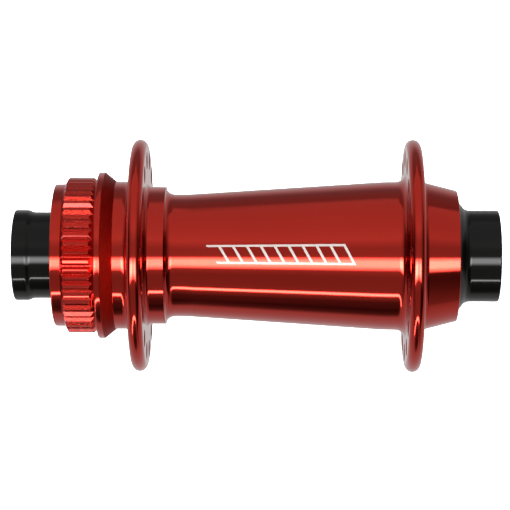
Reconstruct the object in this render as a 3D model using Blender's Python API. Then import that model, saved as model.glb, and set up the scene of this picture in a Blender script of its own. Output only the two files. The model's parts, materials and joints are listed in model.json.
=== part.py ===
"""Bicycle front hub, 110 mm between the fork ends, for a 15 mm thru-axle and a splined disc rotor.

The hub's axis is Y, with its middle at the origin, the disc side at +Y and +Z up. Sizes are in metres.
"""

import math

import bmesh
import bpy
from mathutils import Matrix, Vector

# ---- Overall sizes ----
OVER_LOCKNUT_WIDTH = 0.110  # between the faces that the fork ends clamp
THRU_AXLE_BORE = 0.0151  # bore for a 15 mm thru-axle
FIT_GAP = 0.0003  # clearance between pieces that touch on the real hub
DISC_NOSE_SETBACK = 0.0093  # from the disc side's clamped face to the nose's open end
PLAIN_TAIL_SETBACK = 0.00955  # from the plain side's clamped face to the tail's open end

# ---- Axle tube ----
AXLE_WALL = 0.00065
AXLE_SHOULDER_HEIGHT = 0.0016  # above the bearing seats
AXLE_END_SETBACK = 0.0035  # from each clamped face to the end of the tube

# ---- Cartridge bearings, one on each side: 17 x 28 x 7 mm as these sizes make them ----
BALL_DIAMETER = 0.003175
BALLS_PER_BEARING = 12
GROOVE_WALL = 0.0008625  # each ring's thickness behind its ball groove
RING_WALL = 0.0016  # each ring's thickness beside its ball groove
CAGE_WEB = 0.000357  # cage left beside each ball
SEAL_THICKNESS = 0.0006
SEAL_RECESS = 0.0002  # how far a seal lies inside its bearing's face
DISC_BEARING_SETBACK = 0.0095  # from the nose's open end to the bearing
PLAIN_BEARING_SETBACK = 0.00185  # from the tail's open end to the bearing

# ---- Spoke flanges ----
SPOKES_PER_FLANGE = 16
SPOKE_HOLE_DIAMETER = 0.0026
SPOKE_COUNTERSINK_DIAMETER = 0.0040
SPOKE_COUNTERSINK_DEPTH = 0.0006
SPOKE_EDGE_DISTANCE = 0.0045  # from a flange's rim to the middle of its holes
DISC_SPOKE_PHASE = math.radians(9.75)
PLAIN_SPOKE_PHASE = math.radians(-1.5)
DISC_FLANGE_DIAMETER = 0.0528
DISC_FLANGE_THICKNESS = 0.00335
PLAIN_FLANGE_DIAMETER = 0.0529
PLAIN_FLANGE_THICKNESS = 0.0034

# ---- Barrel between the flanges: walls are measured over the bore between the bearings ----
BARREL_THIN_WALL = 0.0015
BARREL_THICK_WALL = 0.00447
BARREL_STEP_WALL = 0.00325  # the short raised land beside the disc-side flange
BARREL_STEP_LENGTH = 0.00425
BARREL_THIN_LENGTH = 0.0046  # from the raised land to where the taper starts
BARREL_THICK_LENGTH = 0.00465  # straight stretch beside the plain-side flange
BARREL_FILLET = 0.0022
STEP_FILLET = 0.0010

# ---- Disc-side nose, with the rotor's spline and stop ----
NOSE_LENGTH = 0.0176  # from the flange's outer face to the open end
NOSE_BORE_STEP = 0.00055  # how much wider the lockring's thread is than the bearing seat, on the radius
NOSE_WALL = 0.00135
NOSE_CHAMFER = 0.0003
NECK_WALL = 0.0025  # over the bearing seat, between the flange and the rotor stop
NECK_FILLET = 0.0018
SPLINE_TEETH = 54
SPLINE_PHASE = math.radians(-4.8)
SPLINE_ROOT_HEIGHT = 0.00075  # above the nose
SPLINE_TOOTH_HEIGHT = 0.0007
SPLINE_SETBACK = 0.0023  # from the open end to the teeth
SPLINE_LEAD_LENGTH = 0.0008  # sloping start of the teeth
SPLINE_GAP_AT_TIP = 0.0015
SPLINE_GAP_AT_ROOT = 0.00012
SPLINE_CUT_OVER = 0.0002  # what the gap cutters reach past the tips, short of each other
STOP_FACE_SETBACK = 0.0099  # from the open end to the face that the rotor rests on
STOP_HEIGHT = 0.00129  # above the teeth
STOP_CLEARANCE = 0.0001  # from the teeth's tips out to the flat of the stop face
STOP_CHAMFER = 0.00033
STOP_LAND = 0.00135
STOP_CONE_LENGTH = 0.0026
RELIEF_WIDTH = 0.0011  # groove between the teeth and the stop
RELIEF_DEPTH = 0.0008  # below the tips; the tooth side of the groove slopes at 45 degrees

# ---- Plain-side tail ----
TAIL_LENGTH = 0.0083
TAIL_ROOT_WALL = 0.0027  # over the bearing seat
TAIL_END_WALL = 0.00057
TAIL_FILLET = 0.0013

# ---- End caps ----
CAP_CHAMFER = 0.0004
DISC_CAP_NECK_WALL = 0.00132  # over the axle tube
DISC_CAP_LIP_HEIGHT = 0.0005
DISC_CAP_LIP_LENGTH = 0.0031
DISC_CAP_TAPER_LENGTH = 0.0011
PLAIN_CAP_WALL = 0.0019
PLAIN_CAP_FLARE_ANGLE = math.radians(50)
PLAIN_SHIELD_RIM = 0.0005
SHIELD_THICKNESS = 0.0012
DISC_SHIELD_CLEARANCE = 0.0007  # from the shield out to the bearing seat's radius
PLAIN_SHIELD_CLEARANCE = 0.0013
DISC_SHIELD_CONE_LENGTH = 0.0022
LIP_SEAL_THICKNESS = 0.0006
ORING_SECTION = 0.0010
ORING_WALL = 0.0003  # between the O-ring's groove and the shield's bearing side

# ---- Mesh fineness ----
SHELL_SEGMENTS = 40
ROUND_SEGMENTS = 32
BEARING_SEGMENTS = 24
BALL_SEGMENTS = 8
ORING_SIDES = 6
HOLE_SIDES = 8
ARC_STEPS = 2
SHARP_ANGLE = math.radians(35)
OVERSHOOT = 0.001  # how far a cutter reaches past what it cuts
SAME_POINT = 1e-7

# ---- Radii that follow, from the axle outwards ----
BORE = THRU_AXLE_BORE / 2
AXLE_RADIUS = BORE + AXLE_WALL
BEARING_BORE = AXLE_RADIUS + FIT_GAP
BEARING_SECTION = BALL_DIAMETER + 2 * FIT_GAP + 2 * GROOVE_WALL
BEARING_OUTSIDE = BEARING_BORE + BEARING_SECTION
PITCH_RADIUS = BEARING_BORE + BEARING_SECTION / 2
INNER_LAND = BEARING_BORE + RING_WALL
OUTER_LAND = BEARING_OUTSIDE - RING_WALL
BEARING_SEAT = BEARING_OUTSIDE + FIT_GAP
CAP_BORE = AXLE_RADIUS + FIT_GAP
ORING_MIDDLE_RADIUS = CAP_BORE + ORING_SECTION / 2
ORING_GROOVE_RADIUS = CAP_BORE + ORING_SECTION + FIT_GAP
ORING_GROOVE_WIDTH = ORING_SECTION + 2 * FIT_GAP
NOSE_BORE = BEARING_SEAT + NOSE_BORE_STEP
NOSE_RADIUS = NOSE_BORE + NOSE_WALL
SPLINE_ROOT = NOSE_RADIUS + SPLINE_ROOT_HEIGHT
SPLINE_TIP = SPLINE_ROOT + SPLINE_TOOTH_HEIGHT

# ---- Widths and places along the axis that follow ----
POCKET_RADIUS = BALL_DIAMETER / 2 + FIT_GAP
POCKET_CORNER = POCKET_RADIUS / math.cos(math.pi / HOLE_SIDES)
CAGE_HALF_WIDTH = POCKET_CORNER + CAGE_WEB
SEAL_INNER = CAGE_HALF_WIDTH + FIT_GAP
SEAL_OUTER = SEAL_INNER + SEAL_THICKNESS
BEARING_HALF_WIDTH = SEAL_OUTER + SEAL_RECESS
HALF_WIDTH = OVER_LOCKNUT_WIDTH / 2
NOSE_END = HALF_WIDTH - DISC_NOSE_SETBACK
TAIL_END = PLAIN_TAIL_SETBACK - HALF_WIDTH
DISC_FLANGE_OUTER_FACE = NOSE_END - NOSE_LENGTH
DISC_FLANGE_INNER_FACE = DISC_FLANGE_OUTER_FACE - DISC_FLANGE_THICKNESS
PLAIN_FLANGE_OUTER_FACE = TAIL_END + TAIL_LENGTH
PLAIN_FLANGE_INNER_FACE = PLAIN_FLANGE_OUTER_FACE + PLAIN_FLANGE_THICKNESS
STOP_FACE = NOSE_END - STOP_FACE_SETBACK
SPLINE_FRONT = NOSE_END - SPLINE_SETBACK
DISC_BEARING_FACE = NOSE_END - DISC_BEARING_SETBACK
PLAIN_BEARING_FACE = TAIL_END + PLAIN_BEARING_SETBACK
DISC_BEARING_MIDDLE = DISC_BEARING_FACE - BEARING_HALF_WIDTH
PLAIN_BEARING_MIDDLE = PLAIN_BEARING_FACE + BEARING_HALF_WIDTH
DISC_SHOULDER = DISC_BEARING_MIDDLE - BEARING_HALF_WIDTH - FIT_GAP
PLAIN_SHOULDER = PLAIN_BEARING_MIDDLE + BEARING_HALF_WIDTH + FIT_GAP


# ---- Tools for turned shapes ----


def rounded_outline(corners):
    """Points (y, r) of a closed outline. Each corner (y, r, radius) is rounded as far as its walls allow."""
    places = [Vector(corner[:2]) for corner in corners]
    radii = [corner[2] if len(corner) > 2 else 0.0 for corner in corners]
    points = []
    for i, corner in enumerate(places):
        before, after = i - 1, (i + 1) % len(places)
        for point in corner_points(
            places[before], corner, places[after], radii[i], bool(radii[before]), bool(radii[after])
        ):
            if not points or (point - points[-1]).length > SAME_POINT:
                points.append(point)
    if (points[0] - points[-1]).length < SAME_POINT:
        points.pop()
    return points


def corner_points(before, corner, after, radius, before_is_round, after_is_round):
    """The arc that rounds one corner, or the corner itself."""
    if not radius:
        return [corner]
    back, ahead = before - corner, after - corner
    half_angle = back.angle(ahead) / 2
    room = min(
        back.length * (0.5 if before_is_round else 1),
        ahead.length * (0.5 if after_is_round else 1),
    )
    reach = min(radius / math.tan(half_angle), room)
    arc_radius = reach * math.tan(half_angle)
    middle_line = (back.normalized() + ahead.normalized()).normalized()
    centre = corner + middle_line * (arc_radius / math.sin(half_angle))
    start = corner + back.normalized() * reach - centre
    end = corner + ahead.normalized() * reach - centre
    swing = start.angle_signed(end)
    return [centre + Matrix.Rotation(-swing * k / ARC_STEPS, 2) @ start for k in range(ARC_STEPS + 1)]


def turned_mesh(name, corners, segments):
    """A closed ring turned about Y from the outline of its section."""
    bm = bmesh.new()
    section = [bm.verts.new((point.y, point.x, 0)) for point in rounded_outline(corners)]
    edges = [bm.edges.new((section[i - 1], vert)) for i, vert in enumerate(section)]
    bmesh.ops.spin(
        bm, geom=section + edges, cent=(0, 0, 0), axis=(0, 1, 0),
        angle=2 * math.pi, steps=segments, use_merge=True,
    )  # fmt: skip
    bmesh.ops.recalc_face_normals(bm, faces=bm.faces)
    mesh = bpy.data.meshes.new(name)
    bm.to_mesh(mesh)
    bm.free()
    smooth(mesh)
    return mesh


def smooth(mesh):
    mesh.shade_smooth()
    mesh.set_sharp_from_angle(angle=SHARP_ANGLE)


def add_object(name, mesh, material, parent=None, location=(0, 0, 0)):
    made = bpy.data.objects.new(name, mesh)
    if material:
        mesh.materials.clear()
        mesh.materials.append(material)
    made.parent = parent
    made.location = location
    bpy.context.scene.collection.objects.link(made)
    return made


def add_turned(name, corners, segments, material, parent=None):
    return add_object(name, turned_mesh(name, corners, segments), material, parent)


def cut_with(target, name, bm):
    """Cuts the closed shapes in bm out of the target, with a hidden wire cutter."""
    bmesh.ops.recalc_face_normals(bm, faces=bm.faces)
    mesh = bpy.data.meshes.new(name)
    bm.to_mesh(mesh)
    bm.free()
    cutter = add_object(name, mesh, None, target.parent)
    cutter.display_type = "WIRE"
    cutter.hide_render = True
    boolean = target.modifiers.new(name, "BOOLEAN")
    boolean.operation = "DIFFERENCE"
    boolean.solver = "EXACT"
    boolean.object = cutter


def material_of(name, colour, metallic, roughness):
    material = bpy.data.materials.new(name)
    material.use_nodes = True
    shader = material.node_tree.nodes["Principled BSDF"]
    shader.inputs["Base Color"].default_value = (*colour, 1)
    shader.inputs["Metallic"].default_value = metallic
    shader.inputs["Roughness"].default_value = roughness
    return material


# ---- Hub shell ----


def shell_outline():
    """The shell's section: along the outside from nose to tail, and back along the bore."""
    stop = SPLINE_TIP + STOP_HEIGHT
    neck = BEARING_SEAT + NECK_WALL
    thin = OUTER_LAND + BARREL_THIN_WALL
    thick = OUTER_LAND + BARREL_THICK_WALL
    step = OUTER_LAND + BARREL_STEP_WALL
    disc_rim = DISC_FLANGE_DIAMETER / 2
    plain_rim = PLAIN_FLANGE_DIAMETER / 2
    tooth_end = STOP_FACE + RELIEF_WIDTH
    cone_start = STOP_FACE - STOP_LAND
    step_end = DISC_FLANGE_INNER_FACE - BARREL_STEP_LENGTH
    seat_end = DISC_BEARING_FACE + FIT_GAP
    outside = [
        (NOSE_END, NOSE_BORE + NOSE_CHAMFER),
        (NOSE_END, NOSE_RADIUS - NOSE_CHAMFER),
        (NOSE_END - NOSE_CHAMFER, NOSE_RADIUS),
        (SPLINE_FRONT, NOSE_RADIUS),
        (SPLINE_FRONT - SPLINE_LEAD_LENGTH, SPLINE_TIP),
        (tooth_end, SPLINE_TIP),
        (tooth_end - RELIEF_DEPTH, SPLINE_TIP - RELIEF_DEPTH),
        (STOP_FACE, SPLINE_TIP + STOP_CLEARANCE),
        (STOP_FACE, stop - STOP_CHAMFER),
        (STOP_FACE - STOP_CHAMFER, stop),
        (cone_start, stop),
        (cone_start - STOP_CONE_LENGTH, neck),
        (DISC_FLANGE_OUTER_FACE, neck, NECK_FILLET),
        (DISC_FLANGE_OUTER_FACE, disc_rim, DISC_FLANGE_THICKNESS / 2),
        (DISC_FLANGE_INNER_FACE, disc_rim, DISC_FLANGE_THICKNESS / 2),
        (DISC_FLANGE_INNER_FACE, step, STEP_FILLET),
        (step_end, step),
        (step_end, thin, BARREL_FILLET),
        (step_end - BARREL_THIN_LENGTH, thin),
        (PLAIN_FLANGE_INNER_FACE + BARREL_THICK_LENGTH, thick),
        (PLAIN_FLANGE_INNER_FACE, thick, BARREL_FILLET),
        (PLAIN_FLANGE_INNER_FACE, plain_rim, PLAIN_FLANGE_THICKNESS / 2),
        (PLAIN_FLANGE_OUTER_FACE, plain_rim, PLAIN_FLANGE_THICKNESS / 2),
        (PLAIN_FLANGE_OUTER_FACE, BEARING_SEAT + TAIL_ROOT_WALL, TAIL_FILLET),
        (TAIL_END, BEARING_SEAT + TAIL_END_WALL),
    ]
    bore = [
        (TAIL_END, BEARING_SEAT),
        (PLAIN_SHOULDER, BEARING_SEAT),
        (PLAIN_SHOULDER, OUTER_LAND),
        (DISC_SHOULDER, OUTER_LAND),
        (DISC_SHOULDER, BEARING_SEAT),
        (seat_end, BEARING_SEAT),
        (seat_end, NOSE_BORE),
        (NOSE_END - NOSE_CHAMFER, NOSE_BORE),
    ]
    return outside + bore


def add_spoke_holes(bm, outer_face, inner_face, flange_diameter, phase):
    """Countersunk holes through one flange, as closed cutters that reach past both faces."""
    middle = (outer_face + inner_face) / 2
    half = abs(outer_face - inner_face) / 2
    circle = flange_diameter / 2 - SPOKE_EDGE_DISTANCE
    hole = SPOKE_HOLE_DIAMETER / 2
    sink = SPOKE_COUNTERSINK_DIAMETER / 2
    slope = (sink - hole) / SPOKE_COUNTERSINK_DEPTH
    wide = sink + slope * OVERSHOOT
    rings = [
        (-half - OVERSHOOT, wide),
        (SPOKE_COUNTERSINK_DEPTH - half, hole),
        (half - SPOKE_COUNTERSINK_DEPTH, hole),
        (half + OVERSHOOT, wide),
    ]
    for k in range(SPOKES_PER_FLANGE):
        angle = phase + 2 * math.pi * k / SPOKES_PER_FLANGE
        centre = Vector((-math.cos(angle) * circle, middle, math.sin(angle) * circle))
        loops = [[bm.verts.new(centre + Vector(around(radius, y, side))) for side in range(HOLE_SIDES)]
                 for y, radius in rings]  # fmt: skip
        close_loops(bm, loops)


def around(radius, y, side):
    angle = 2 * math.pi * (side + 0.5) / HOLE_SIDES
    return radius * math.cos(angle), y, radius * math.sin(angle)


def close_loops(bm, loops):
    """Skins a stack of vertex loops with sides and two ends."""
    for low, high in zip(loops, loops[1:]):
        for i, vert in enumerate(low):
            bm.faces.new((low[i - 1], vert, high[i], high[i - 1]))
    bm.faces.new(loops[0])
    bm.faces.new(reversed(loops[-1]))


def add_spline_gaps(bm):
    """The gaps between the spline's teeth, as closed wedges that run out past the teeth's front end."""
    beyond = SPLINE_TIP + SPLINE_CUT_OVER
    slope = (SPLINE_GAP_AT_TIP - SPLINE_GAP_AT_ROOT) / SPLINE_TOOTH_HEIGHT
    low = SPLINE_GAP_AT_ROOT / 2
    high = low + slope * (beyond - SPLINE_ROOT) / 2
    section = [(SPLINE_ROOT, -low), (beyond, -high), (beyond, high), (SPLINE_ROOT, low)]
    for k in range(SPLINE_TEETH):
        angle = SPLINE_PHASE + 2 * math.pi * (k + 0.5) / SPLINE_TEETH
        turn = Matrix.Rotation(math.pi + angle, 3, "Y")
        loops = [[bm.verts.new(turn @ Vector((radius, y, side))) for radius, side in section]
                 for y in (STOP_FACE + FIT_GAP, SPLINE_FRONT + OVERSHOOT)]  # fmt: skip
        close_loops(bm, loops)


def build_shell(material):
    shell = add_turned("hub_shell", shell_outline(), SHELL_SEGMENTS, material)
    gaps = bmesh.new()
    add_spline_gaps(gaps)
    cut_with(shell, "spline_gap_cutter", gaps)
    holes = bmesh.new()
    add_spoke_holes(
        holes, DISC_FLANGE_OUTER_FACE, DISC_FLANGE_INNER_FACE, DISC_FLANGE_DIAMETER, DISC_SPOKE_PHASE
    )
    add_spoke_holes(
        holes, PLAIN_FLANGE_OUTER_FACE, PLAIN_FLANGE_INNER_FACE, PLAIN_FLANGE_DIAMETER, PLAIN_SPOKE_PHASE
    )
    cut_with(shell, "spoke_hole_cutter", holes)


# ---- Axle tube ----


def build_axle(material):
    """A tube with a shoulder between the two bearings and a plain stub at each end for its cap."""
    shoulder = AXLE_RADIUS + AXLE_SHOULDER_HEIGHT
    end = HALF_WIDTH - AXLE_END_SETBACK
    outline = [
        (end, BORE),
        (end, AXLE_RADIUS),
        (DISC_SHOULDER, AXLE_RADIUS),
        (DISC_SHOULDER, shoulder),
        (PLAIN_SHOULDER, shoulder),
        (PLAIN_SHOULDER, AXLE_RADIUS),
        (-end, AXLE_RADIUS),
        (-end, BORE),
    ]
    add_turned("axle", outline, ROUND_SEGMENTS, material)


# ---- Bearings ----


def race_arc(centre_sign):
    """The ball groove's arc in a ring's section: centre_sign is 1 for the outer ring and -1 for the inner."""
    radius = POCKET_RADIUS
    land = OUTER_LAND if centre_sign > 0 else INNER_LAND
    half_angle = math.acos(abs(land - PITCH_RADIUS) / radius)
    steps = 2 * ARC_STEPS
    return [
        (radius * math.sin(angle), PITCH_RADIUS + centre_sign * radius * math.cos(angle))
        for angle in (half_angle * (2 * k / steps - 1) for k in range(steps + 1))
    ]


def build_bearing(side, middle, materials):
    """Two rings, two seals, a cage and its balls around an empty at the bearing's middle."""
    hub = bpy.data.objects.new(f"{side}_bearing", None)
    hub.location = (0, middle, 0)
    bpy.context.scene.collection.objects.link(hub)
    half = BEARING_HALF_WIDTH
    seal_seat = OUTER_LAND + FIT_GAP
    outer_ring = [
        (half, seal_seat), (half, BEARING_OUTSIDE), (-half, BEARING_OUTSIDE), (-half, seal_seat),
        (-CAGE_HALF_WIDTH, seal_seat), (-CAGE_HALF_WIDTH, OUTER_LAND), *race_arc(1),
        (CAGE_HALF_WIDTH, OUTER_LAND), (CAGE_HALF_WIDTH, seal_seat),
    ]  # fmt: skip
    add_turned(f"{side}_bearing_outer_ring", outer_ring, BEARING_SEGMENTS, materials["steel"], hub)
    inner_ring = [
        (half, BEARING_BORE), (half, INNER_LAND), *reversed(race_arc(-1)),
        (-half, INNER_LAND), (-half, BEARING_BORE),
    ]  # fmt: skip
    add_turned(f"{side}_bearing_inner_ring", inner_ring, BEARING_SEGMENTS, materials["steel"], hub)
    for place, direction in (("outer", 1), ("inner", -1)):
        away = direction if middle > 0 else -direction
        seal = [
            (away * SEAL_OUTER, INNER_LAND + FIT_GAP), (away * SEAL_OUTER, OUTER_LAND),
            (away * SEAL_INNER, OUTER_LAND), (away * SEAL_INNER, INNER_LAND + FIT_GAP),
        ]  # fmt: skip
        add_turned(f"{side}_bearing_{place}_seal", seal, BEARING_SEGMENTS, materials["rubber"], hub)
    build_cage(side, hub, materials["cage"])
    ball = bpy.data.meshes.new("bearing_ball")
    bm = bmesh.new()
    bmesh.ops.create_uvsphere(
        bm, u_segments=BALL_SEGMENTS, v_segments=BALL_SEGMENTS // 2, radius=BALL_DIAMETER / 2
    )
    bm.to_mesh(ball)
    bm.free()
    ball.shade_smooth()
    for k in range(BALLS_PER_BEARING):
        angle = 2 * math.pi * k / BALLS_PER_BEARING
        place = (PITCH_RADIUS * math.cos(angle), 0, PITCH_RADIUS * math.sin(angle))
        add_object(f"{side}_bearing_ball_{k + 1:02d}", ball, materials["ball"], hub, place)


def build_cage(side, hub, material):
    """A ring with a round pocket for each ball."""
    half = CAGE_HALF_WIDTH
    low = INNER_LAND + FIT_GAP
    high = OUTER_LAND - FIT_GAP
    outline = [(half, low), (half, high), (-half, high), (-half, low)]
    cage = add_turned(f"{side}_bearing_cage", outline, BEARING_SEGMENTS, material, hub)
    pockets = bmesh.new()
    for k in range(BALLS_PER_BEARING):
        turn = Matrix.Rotation(-2 * math.pi * k / BALLS_PER_BEARING, 3, "Y")
        loops = [[pockets.verts.new(turn @ Vector((radius, y, z))) for y, z in octagon(POCKET_CORNER)]
                 for radius in (low - OVERSHOOT, high + OVERSHOOT)]  # fmt: skip
        close_loops(pockets, loops)
    cut_with(cage, f"{side}_cage_pocket_cutter", pockets)


def octagon(corner_radius):
    angles = [2 * math.pi * (side + 0.5) / HOLE_SIDES for side in range(HOLE_SIDES)]
    return [(corner_radius * math.cos(angle), corner_radius * math.sin(angle)) for angle in angles]


# ---- End caps, with their O-rings and lip seals ----


def cap_inside(side, shield_inner, shield_end):
    """The inner half of a cap's section, from its clamped face to the bearing: side is 1 or -1."""
    face = side * HALF_WIDTH
    axle_end = face - side * (AXLE_END_SETBACK - FIT_GAP)
    groove_start = shield_inner + side * ORING_WALL
    groove_end = groove_start + side * ORING_GROOVE_WIDTH
    return [
        (face, BORE),
        (axle_end, BORE),
        (axle_end, CAP_BORE),
        (groove_end, CAP_BORE),
        (groove_end, ORING_GROOVE_RADIUS),
        (groove_start, ORING_GROOVE_RADIUS),
        (groove_start, CAP_BORE),
        (shield_end, CAP_BORE),
        (shield_end, INNER_LAND),
        (shield_inner, INNER_LAND),
    ]


def add_seals(name, side, bearing_face, shield_inner, material):
    """The cap's O-ring on the axle stub, and the lip seal between its shield and the bearing."""
    middle = shield_inner + side * (ORING_WALL + ORING_GROOVE_WIDTH / 2)
    radius = ORING_SECTION / 2
    angles = [2 * math.pi * k / ORING_SIDES for k in range(ORING_SIDES)]
    ring = [(middle + radius * math.cos(a), ORING_MIDDLE_RADIUS + radius * math.sin(a)) for a in angles]
    add_turned(f"{name}_end_cap_o_ring", ring, ROUND_SEGMENTS, material)
    low = bearing_face + side * FIT_GAP
    high = low + side * LIP_SEAL_THICKNESS
    inside = INNER_LAND + FIT_GAP
    outside = BEARING_SEAT - FIT_GAP
    lip = [(low, inside), (high, inside), (high, outside), (low, outside)]
    add_turned(f"{name}_end_cap_lip_seal", lip, ROUND_SEGMENTS, material)


def build_disc_cap(materials):
    """A thin neck with a raised lip at the clamped face and a shield over the bearing."""
    shield_end = DISC_BEARING_FACE + FIT_GAP
    shield_inner = shield_end + LIP_SEAL_THICKNESS + FIT_GAP
    shield_outer = shield_inner + SHIELD_THICKNESS
    shield = BEARING_SEAT - DISC_SHIELD_CLEARANCE
    neck = CAP_BORE + DISC_CAP_NECK_WALL
    lip = neck + DISC_CAP_LIP_HEIGHT
    groove_end = shield_inner + ORING_WALL + ORING_GROOVE_WIDTH
    cone_foot = ORING_GROOVE_RADIUS + SHIELD_THICKNESS
    taper_start = HALF_WIDTH - DISC_CAP_LIP_LENGTH
    outside = [
        (shield_inner, shield),
        (shield_outer, shield),
        (shield_outer, cone_foot + SHIELD_THICKNESS),
        (groove_end, cone_foot),
        (shield_outer + DISC_SHIELD_CONE_LENGTH, neck),
        (taper_start - DISC_CAP_TAPER_LENGTH, neck),
        (taper_start, lip),
        (HALF_WIDTH - CAP_CHAMFER, lip),
        (HALF_WIDTH, lip - CAP_CHAMFER),
    ]
    outline = cap_inside(1, shield_inner, shield_end) + outside
    add_turned("disc_side_end_cap", outline, ROUND_SEGMENTS, materials["cap"])
    add_seals("disc_side", 1, DISC_BEARING_FACE, shield_inner, materials["rubber"])


def build_plain_cap(materials):
    """A straight sleeve that flares into a shield over the bearing."""
    shield_end = PLAIN_BEARING_FACE - FIT_GAP
    shield_inner = shield_end - LIP_SEAL_THICKNESS - FIT_GAP
    straight = CAP_BORE + PLAIN_CAP_WALL
    shield = BEARING_SEAT - PLAIN_SHIELD_CLEARANCE
    flare_end = shield_inner - PLAIN_SHIELD_RIM
    flare_start = flare_end - (shield - straight) / math.tan(PLAIN_CAP_FLARE_ANGLE)
    outside = [
        (shield_inner, shield),
        (flare_end, shield),
        (flare_start, straight),
        (CAP_CHAMFER - HALF_WIDTH, straight),
        (-HALF_WIDTH, straight - CAP_CHAMFER),
    ]
    outline = cap_inside(-1, shield_inner, shield_end) + outside
    add_turned("plain_side_end_cap", outline, ROUND_SEGMENTS, materials["cap"])
    add_seals("plain_side", -1, PLAIN_BEARING_FACE, shield_inner, materials["rubber"])


def main():
    for old in list(bpy.data.objects):
        bpy.data.objects.remove(old, do_unlink=True)
    materials = {
        "shell": material_of("red_anodised_aluminium", (0.45, 0.020, 0.012), 1.0, 0.25),
        "cap": material_of("black_anodised_aluminium", (0.02, 0.02, 0.02), 0.6, 0.35),
        "axle": material_of("silver_aluminium", (0.80, 0.80, 0.82), 1.0, 0.30),
        "steel": material_of("bearing_steel", (0.60, 0.60, 0.62), 1.0, 0.20),
        "ball": material_of("polished_steel", (0.75, 0.75, 0.77), 1.0, 0.08),
        "cage": material_of("cage_nylon", (0.65, 0.60, 0.48), 0.0, 0.50),
        "rubber": material_of("black_rubber", (0.02, 0.02, 0.02), 0.0, 0.60),
    }
    build_shell(materials["shell"])
    build_axle(materials["axle"])
    build_bearing("disc_side", DISC_BEARING_MIDDLE, materials)
    build_bearing("plain_side", PLAIN_BEARING_MIDDLE, materials)
    build_disc_cap(materials)
    build_plain_cap(materials)


main()
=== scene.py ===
import json
import math

import bmesh
import bpy
from mathutils import Matrix, Vector

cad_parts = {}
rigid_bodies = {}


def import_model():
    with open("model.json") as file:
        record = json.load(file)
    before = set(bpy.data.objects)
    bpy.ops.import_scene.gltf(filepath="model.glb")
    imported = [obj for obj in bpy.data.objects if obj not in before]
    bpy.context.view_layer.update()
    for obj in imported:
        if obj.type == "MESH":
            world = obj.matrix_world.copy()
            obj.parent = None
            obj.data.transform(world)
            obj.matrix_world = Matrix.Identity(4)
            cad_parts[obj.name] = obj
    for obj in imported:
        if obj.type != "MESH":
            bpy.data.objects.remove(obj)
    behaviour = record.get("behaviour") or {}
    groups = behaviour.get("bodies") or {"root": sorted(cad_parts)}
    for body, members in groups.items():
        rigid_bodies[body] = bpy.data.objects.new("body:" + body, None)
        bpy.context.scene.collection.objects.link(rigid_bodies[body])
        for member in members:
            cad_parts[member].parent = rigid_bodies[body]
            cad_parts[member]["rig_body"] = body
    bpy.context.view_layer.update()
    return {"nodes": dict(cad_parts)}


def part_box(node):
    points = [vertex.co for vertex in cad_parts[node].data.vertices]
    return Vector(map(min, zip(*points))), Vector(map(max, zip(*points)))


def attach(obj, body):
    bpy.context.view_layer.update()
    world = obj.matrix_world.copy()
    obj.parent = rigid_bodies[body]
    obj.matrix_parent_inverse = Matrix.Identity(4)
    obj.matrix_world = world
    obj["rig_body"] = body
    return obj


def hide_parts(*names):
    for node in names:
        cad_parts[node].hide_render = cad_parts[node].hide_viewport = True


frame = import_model()

mm = 0.001
clearance = 0.3  # millimetres between neighbours that don't touch
sameSpot = 1e-7  # metres within which vertices are merged


def bodyOf(cadNode):
    return frame["nodes"][cadNode]["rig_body"]


def pieceName(cadNode):
    first, *others = cadNode.split("_")
    return first + "".join(word.capitalize() for word in others)


def endsOf(cadNode):
    # lowest and highest place along the hub's axis, and outside radius, all in millimetres
    low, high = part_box(cadNode)
    return low.y / mm, high.y / mm, high.z / mm


def middleOf(cadNode):
    low, high, _ = endsOf(cadNode)
    return (low + high) / 2


def sectionFace(bm, corners):
    verts = [bm.verts.new((0, corner[0] * mm, corner[1] * mm)) for corner in corners]
    bm.faces.new(verts)
    return verts


def roundCorners(bm, verts, corners, segments):
    # a corner's third value is the size of its rounding, and segments may give that size its own count
    sizes = sorted({corner[2] for corner in corners if len(corner) > 2})
    for size in sizes:
        picked = [vert for vert, corner in zip(verts, corners) if len(corner) > 2 and corner[2] == size]
        bmesh.ops.bevel(
            bm, geom=picked, offset=size * mm, offset_type="OFFSET", affect="VERTICES",
            segments=segments[size] if size in segments else segments["small"],
            profile=0.5, material=-1, clamp_overlap=False,
        )  # fmt: skip


def turned(corners, steps, segments, startAngle=0.0):
    # a section of (y, r, rounding) corners in millimetres, spun about the hub's axis
    bm = bmesh.new()
    verts = sectionFace(bm, corners)
    roundCorners(bm, verts, corners, segments)
    bmesh.ops.delete(bm, geom=bm.faces[:], context="FACES_ONLY")
    bmesh.ops.remove_doubles(bm, verts=bm.verts[:], dist=sameSpot)
    bmesh.ops.rotate(
        bm, verts=bm.verts[:], cent=(0, 0, 0), matrix=Matrix.Rotation(startAngle, 3, "Y")
    )
    bmesh.ops.spin(
        bm, geom=bm.verts[:] + bm.edges[:], cent=(0, 0, 0), axis=(0, 1, 0),
        angle=2 * math.pi, steps=steps, use_merge=True,
    )  # fmt: skip
    bmesh.ops.remove_doubles(bm, verts=bm.verts[:], dist=sameSpot)
    bmesh.ops.recalc_face_normals(bm, faces=bm.faces[:])
    return bm


def meshFrom(bm, name, materials):
    mesh = bpy.data.meshes.new(name)
    bm.to_mesh(mesh)
    bm.free()
    for material in materials:
        mesh.materials.append(material)
    return mesh


def placed(name, mesh, sharpAngle=32):
    piece = bpy.data.objects.new(name, mesh)
    bpy.context.scene.collection.objects.link(piece)
    mesh.shade_smooth()
    mesh.set_sharp_from_angle(angle=math.radians(sharpAngle))
    return piece


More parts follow.
